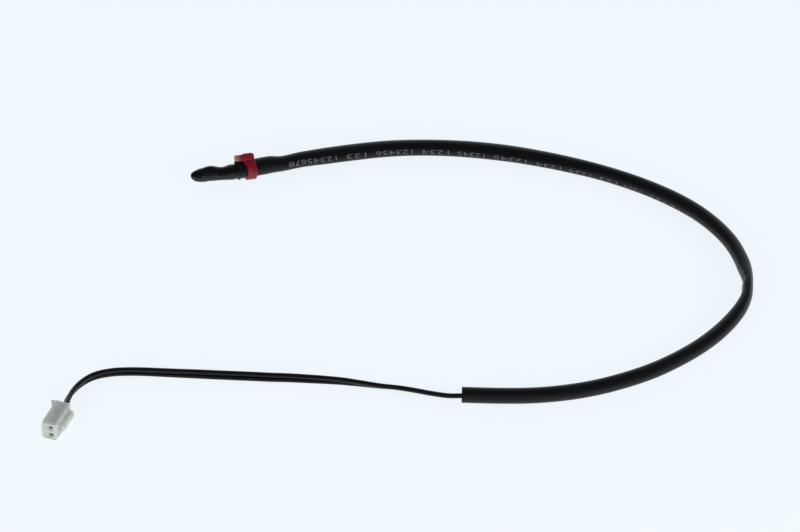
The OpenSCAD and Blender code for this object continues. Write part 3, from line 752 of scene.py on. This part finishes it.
def tie_head(width, thick):
    """The head: a block with round edges and a nose, a neck below it and the strap's end on top."""
    bm = bmesh.new()
    length, across = TIE_HEAD
    middle = (TIE_HEAD_FROM + TIE_HEAD_TO) / 2
    bmesh.ops.create_cube(
        bm, size=1, matrix=Matrix.Translation((-TIE_HEAD_SHIFT, 0, middle))
        @ Matrix.Diagonal((length, across, TIE_HEAD_TO - TIE_HEAD_FROM, 1)))
    bmesh.ops.bevel(
        bm, geom=bm.edges[:], offset=TIE_EDGE, segments=4, profile=0.5, affect="EDGES", material=-1)
    end_x = -TIE_HEAD_SHIFT - length / 2
    for k in range(1, TIE_NOSE_STEPS + 1):
        cut_along(bm, (end_x + TIE_NOSE * k / TIE_NOSE_STEPS, 0, 0), (1, 0, 0))
    for v in bm.verts:
        v.co.y *= 1 - TIE_NARROW * max(0, 1 - (v.co.x - end_x) / TIE_NOSE) ** 2
    neck = bmesh.ops.create_cube(
        bm, size=1, matrix=Matrix.Translation((0, 0, (TIE_HEAD_FROM + NECK_FROM) / 2))
        @ Matrix.Diagonal((width, across - NECK_NARROWER, TIE_HEAD_FROM - NECK_FROM + NECK_OVERLAP, 1)))
    end = bmesh.ops.create_cube(
        bm, size=1, matrix=Matrix.Translation((0, 0, TIE_HEAD_TO))
        @ Matrix.Diagonal((width, thick, STRAP_END, 1)))
    for part in (neck, end):
        edges = {e for v in part["verts"] for e in v.link_edges}
        bmesh.ops.bevel(
            bm, geom=list(edges), offset=SMALL_EDGE, segments=2, profile=0.5, affect="EDGES",
            material=-1)
    bmesh.ops.transform(bm, matrix=tie_place(), verts=bm.verts)
    return bm


# In the housing's mesh, corners nearer than this are merged, and faces as level as this are joined
PLUG_MERGE = 0.002
PLUG_LEVEL = math.radians(1)
# Edges sharper than this are rounded
PLUG_SHARP = math.radians(25)


class PROBE_OT_plug(bpy.types.Operator):
    """Adds the plug's housing with moulded edges over its true form"""

    bl_idname = "probe.plug"
    bl_label = "Plug housing"

    def execute(self, context):
        sizes, colours = context.scene.probe_sizes, context.scene.probe_colours
        bm = bmesh.new()
        bm.from_mesh(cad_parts["plug_housing"].data)
        bmesh.ops.remove_doubles(bm, verts=bm.verts, dist=PLUG_MERGE * MM)
        bmesh.ops.dissolve_limit(
            bm, angle_limit=PLUG_LEVEL, verts=bm.verts, edges=bm.edges, use_dissolve_boundaries=False)
        made = new_piece("plug_shell", bm, natural_nylon(colours), ["plug_housing"])
        edge = made.modifiers.new("moulded_edge", "BEVEL")
        edge.width, edge.segments = sizes.plug_edge, 2
        edge.limit_method, edge.angle_limit = "ANGLE", PLUG_SHARP
        edge.harden_normals = True
        return {"FINISHED"}


class PROBE_OT_inner(bpy.types.Operator):
    """Gives the pieces inside the tip, the wires and the plug their finishes"""

    bl_idname = "probe.inner"
    bl_label = "Inner pieces"

    def execute(self, context):
        made = {name: inner_finish(name) for name in INNER_FINISHES}
        for node, finish in INNER_PIECES.items():
            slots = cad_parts[node].data.materials
            slots.clear()
            slots.append(made[finish])
        return {"FINISHED"}


# Plain numbers on the sleeve, each counting up from 1: from and to past the mouth, and its digits
MARKS = [
    (15.8, 30.7, 8), (33.7, 39.5, 3), (42.5, 53.7, 6), (56.5, 64.6, 4), (67.1, 75.2, 5), (78.1, 88, 5),
    (91, 98.7, 4), (101.2, 107.9, 4), (110.8, 116.4, 3), (118.6, 124.2, 4), (127.5, 132.7, 3),
    (135, 138.5, 2), (140.8, 146, 3)]
DIGITS = "12345678"
# Type size for digits of height 1, and how much thinner the digits are drawn
TYPE_SIZE = 1.37
TYPE_THINNER = 0.015
# Flat digits are cut at this pitch before they are bent, and corners nearer than this are merged
DIGIT_CUT = 0.12
DIGIT_MERGE = 0.01
# How far out the ink lies, as a share of the sleeve's radius
MARK_LIFT = 1.004
# Thickness of the ink, which reaches into the sleeve's surface
MARK_FILM = 0.02
# Turn of the print round the sleeve, from the first number to the last, and how late it creeps
MARK_TURN = (159, 201)
MARK_CREEP = 1.25


def digits_mesh(text, height):
    """Flat digits of the given height, with their middle at the origin."""
    curve = bpy.data.curves.new("digits", "FONT")
    curve.body, curve.size, curve.offset = text, height * TYPE_SIZE, -TYPE_THINNER
    curve.align_x, curve.align_y = "CENTER", "CENTER"
    curve.resolution_u = 3
    made = bpy.data.objects.new("digits", curve)
    mesh = bpy.data.meshes.new_from_object(made)
    bpy.data.objects.remove(made)
    bpy.data.curves.remove(curve)
    return mesh


class PROBE_OT_marks(bpy.types.Operator):
    """Prints plain running numbers along the sleeve"""

    bl_idname = "probe.marks"
    bl_label = "Printed numbers"

    def execute(self, context):
        sizes, colours = context.scene.probe_sizes, context.scene.probe_colours
        stations = sleeve_stations()
        height = sizes.digit_h / MM
        bm = bmesh.new()
        for start, end, count in MARKS:
            part = bmesh.new()
            mesh = digits_mesh(DIGITS[:count], height)
            part.from_mesh(mesh)
            bpy.data.meshes.remove(mesh)
            places = [v.co.x for v in part.verts]
            stretch = (end - start) / (max(places) - min(places))
            bmesh.ops.scale(part, vec=(stretch, 1, 1), verts=part.verts)
            wrap_digits(part, height, stations, (start + end) / 2)
            joined = bpy.data.meshes.new("joined")
            part.to_mesh(joined)
            part.free()
            bm.from_mesh(joined)
            bpy.data.meshes.remove(joined)
        made = new_piece("sleeve_numbers", bm, printed_ink(colours), smooth=False)
        film = made.modifiers.new("film", "SOLIDIFY")
        film.thickness, film.offset = MARK_FILM * MM, -1
        return {"FINISHED"}


def mark_turn(run):
    """Where the print lies round the sleeve: it creeps under as the sleeve runs on."""
    first, last = MARKS[0][0], MARKS[-1][1]
    share = max(0, (run - first) / (last - first)) ** MARK_CREEP
    return math.radians(MARK_TURN[0] + (MARK_TURN[1] - MARK_TURN[0]) * share)


def wrap_digits(bm, height, stations, middle):
    """Cuts flat digits fine, and bends them round the sleeve and along it."""
    cuts = math.ceil(height / 2 / DIGIT_CUT)
    for k in range(-cuts, cuts + 1):
        cut_along(bm, (0, DIGIT_CUT * k, 0), (0, 1, 0))
    bmesh.ops.remove_doubles(bm, verts=bm.verts, dist=DIGIT_MERGE)
    bmesh.ops.triangulate(bm, faces=bm.faces)
    for v in bm.verts:
        run = middle - v.co.x
        i = max(k for k, (matrix, so_far) in enumerate(stations) if so_far <= run)
        (start, run_from), (end, run_to) = stations[i], stations[i + 1]
        share = (run - run_from) / (run_to - run_from)
        radius = start.col[0].length / MM
        turn = mark_turn(run) + v.co.y / radius
        unit = Vector((math.cos(turn) * MARK_LIFT, math.sin(turn) * MARK_LIFT, 0))
        v.co = (start @ unit).lerp(end @ unit, share)


# The square lamps: name, place, side, power, and whether they show in gloss
LAMPS = [
    ("left_light", (-560, -620, 190), 420, 2.6, False),
    ("right_light", (700, -560, 200), 420, 2.6, False),
    ("small_light", (-40, -850, 290), 60, 0.25, True),
]


class PROBE_OT_stage(bpy.types.Operator):
    """Adds the floor, the soft light and the camera"""

    bl_idname = "probe.stage"
    bl_label = "Floor, light and camera"

    def execute(self, context):
        scene = context.scene
        colour = scene.probe_colours.floor
        scene.view_settings.view_transform = "Standard"
        add_camera(scene)
        add_floor(scene, colour)
        add_tent(scene, colour)
        for lamp in LAMPS:
            add_softbox(scene, *lamp)
        return {"FINISHED"}


def add_camera(scene):
    """The camera, turned about the place that it looks at and drawn back from it."""
    data = bpy.data.cameras.new("camera")
    data.lens, data.sensor_width = CAMERA_LENS, SENSOR_WIDTH
    data.clip_start, data.clip_end = CAMERA_CLIP
    camera = bpy.data.objects.new("camera", data)
    scene.collection.objects.link(camera)
    turn = Matrix.Rotation(CAMERA_TURN, 4, "Z") @ Matrix.Rotation(math.pi / 2 - CAMERA_ELEVATION, 4, "X")
    camera.matrix_world = (
        Matrix.Translation(Vector(CAMERA_TARGET) * MM) @ turn
        @ Matrix.Translation((0, 0, CAMERA_DISTANCE * MM)))
    scene.camera = camera


# How much of the floor's brightness is lit and how much is its own, for soft and pale shadows
FLOOR_LIT = 0.25
FLOOR_GLOW = 0.92
# How far it reaches each way, and how far it lies below the part, in metres
FLOOR_REACH = 3
FLOOR_DROP = 0.02 * MM


def add_floor(scene, colour):
    """Matt white board: even in tone, with only pale shadows on it."""
    bm = bmesh.new()
    bmesh.ops.create_grid(
        bm, x_segments=1, y_segments=1, size=FLOOR_REACH,
        matrix=Matrix.Translation((0, 0, -FLOOR_DROP)))
    mesh = bpy.data.meshes.new("floor")
    bm.to_mesh(mesh)
    bm.free()
    floor = bpy.data.objects.new("floor", mesh)
    scene.collection.objects.link(floor)
    made = bpy.data.materials.new("matt_white_board")
    made.use_nodes = True
    tree = made.node_tree
    tree.nodes.clear()
    ray = add_node(tree, "ShaderNodeLightPath")
    seen = add_node(tree, "ShaderNodeMath", {"operation": "MAXIMUM"}, {
        0: ray.outputs["Is Camera Ray"], 1: ray.outputs["Is Glossy Ray"]})
    seen = add_node(tree, "ShaderNodeMath", {"operation": "MAXIMUM"}, {
        0: seen.outputs[0], 1: ray.outputs["Is Transmission Ray"]})
    lit = add_node(tree, "ShaderNodeBsdfDiffuse", inputs={"Color": rgba(shade_of(colour, FLOOR_LIT))})
    glow = add_node(tree, "ShaderNodeEmission", inputs={"Color": rgba(colour), "Strength": FLOOR_GLOW})
    both = add_node(tree, "ShaderNodeAddShader", inputs={0: lit.outputs[0], 1: glow.outputs[0]})
    plain = add_node(tree, "ShaderNodeBsdfDiffuse", inputs={"Color": rgba(colour)})
    pick = add_node(tree, "ShaderNodeMixShader", inputs={
        "Fac": seen.outputs[0], 1: plain.outputs[0], 2: both.outputs[0]})
    add_node(tree, "ShaderNodeOutputMaterial", inputs={"Surface": pick.outputs[0]})
    mesh.materials.append(made)


# Brightness of the light tent's walls and of its roof, which leans over towards the front
TENT_WALL = 0.9
TENT_ROOF = 0.12
TENT_AXIS = (-0.06, -0.32, 0.945)
# Angles from the roof's axis at which its shade ends and at which it begins
TENT_TURN = (math.cos(math.radians(79)), math.cos(math.radians(51)))
# The same for the dim dome that mirrors in gloss, which reaches down almost to the floor
DOME_AXIS = (-0.05, -0.15, 0.987)
DOME_TURN = (math.cos(math.radians(97)), math.cos(math.radians(78)))
# The dome has an opening at the back, where the tent shows: angles at which it is shut and open
OPENING_AXIS = (0.25, 0.9, 0.36)
OPENING_TURN = (math.cos(math.radians(44)), math.cos(math.radians(21)))


def add_tent(scene, colour):
    """A light tent: bright walls, a dim roof, and the pale backdrop where the camera sees it."""
    world = bpy.data.worlds.new("light_tent")
    scene.world = world
    world.use_nodes = True
    tree = world.node_tree
    tree.nodes.clear()
    place = add_node(tree, "ShaderNodeTexCoord")
    ray = add_node(tree, "ShaderNodeLightPath")

    def shade(axis, turn, outside, inside):
        """A strength that goes over smoothly from outside to inside, round an axis."""
        near = add_node(tree, "ShaderNodeVectorMath", {"operation": "DOT_PRODUCT"}, {
            0: place.outputs["Generated"], 1: axis})
        return add_node(tree, "ShaderNodeMapRange", {"interpolation_type": "SMOOTHSTEP"}, {
            "Value": near.outputs["Value"], "From Min": turn[0], "From Max": turn[1],
            "To Min": outside, "To Max": inside}).outputs["Result"]

    tent = add_node(tree, "ShaderNodeBackground", inputs={
        "Color": rgba(colour), "Strength": shade(TENT_AXIS, TENT_TURN, TENT_WALL, TENT_ROOF)})
    dome = add_node(tree, "ShaderNodeBackground", inputs={
        "Color": rgba(colour), "Strength": shade(DOME_AXIS, DOME_TURN, TENT_WALL, TENT_ROOF)})
    domed = add_node(tree, "ShaderNodeMath", {"operation": "MULTIPLY"}, {
        0: ray.outputs["Is Glossy Ray"], 1: shade(OPENING_AXIS, OPENING_TURN, 1, 0)})
    walls = add_node(tree, "ShaderNodeMixShader", inputs={
        "Fac": domed.outputs[0], 1: tent.outputs[0], 2: dome.outputs[0]})
    backdrop = add_node(tree, "ShaderNodeBackground", inputs={"Color": rgba(colour), "Strength": 1})
    pick = add_node(tree, "ShaderNodeMixShader", inputs={
        "Fac": ray.outputs["Is Camera Ray"], 1: walls.outputs[0], 2: backdrop.outputs[0]})
    add_node(tree, "ShaderNodeOutputWorld", inputs={"Surface": pick.outputs[0]})


def add_softbox(scene, name, place, size, power, mirrored):
    """A square lamp that looks at the middle of the part, and may show in glossy surfaces."""
    data = bpy.data.lights.new(name, "AREA")
    data.size, data.energy = size * MM, power
    lamp = bpy.data.objects.new(name, data)
    scene.collection.objects.link(lamp)
    lamp.visible_glossy = mirrored
    lamp.location = Vector(place) * MM
    lamp.rotation_mode = "QUATERNION"
    lamp.rotation_quaternion = (lamp.location - Vector(CAMERA_TARGET) * MM).to_track_quat("Z", "Y")


class PROBE_PT_panel(bpy.types.Panel):
    """Lists the pieces of the probe with their sizes and colours"""

    bl_idname = "PROBE_PT_panel"
    bl_label = "Temperature Probe"
    bl_space_type = "VIEW_3D"
    bl_region_type = "UI"
    bl_category = "Probe"

    def draw(self, context):
        layout = self.layout
        for group in (context.scene.probe_sizes, context.scene.probe_colours):
            box = layout.box()
            for name in group.bl_rna.properties.keys():
                if name not in {"rna_type", "name"}:
                    box.prop(group, name)
        for operator in OPERATORS:
            layout.operator(operator.bl_idname)


OPERATORS = (
    PROBE_OT_stage, PROBE_OT_plug, PROBE_OT_wires, PROBE_OT_sleeve,
    PROBE_OT_tip, PROBE_OT_tie, PROBE_OT_inner, PROBE_OT_marks,
)
CLASSES = (ProbeSizes, ProbeColours, *OPERATORS, PROBE_PT_panel)


def register():
    for cls in CLASSES:
        bpy.utils.register_class(cls)
    bpy.types.Scene.probe_sizes = bpy.props.PointerProperty(type=ProbeSizes)
    bpy.types.Scene.probe_colours = bpy.props.PointerProperty(type=ProbeColours)


def unregister():
    del bpy.types.Scene.probe_sizes
    del bpy.types.Scene.probe_colours
    for cls in reversed(CLASSES):
        bpy.utils.unregister_class(cls)


def main():
    register()
    bpy.ops.probe.stage()
    bpy.ops.probe.plug()
    bpy.ops.probe.wires()
    bpy.ops.probe.sleeve()
    bpy.ops.probe.tip()
    bpy.ops.probe.tie()
    bpy.ops.probe.inner()
    bpy.ops.probe.marks()


if __name__ == "__main__":
    main()
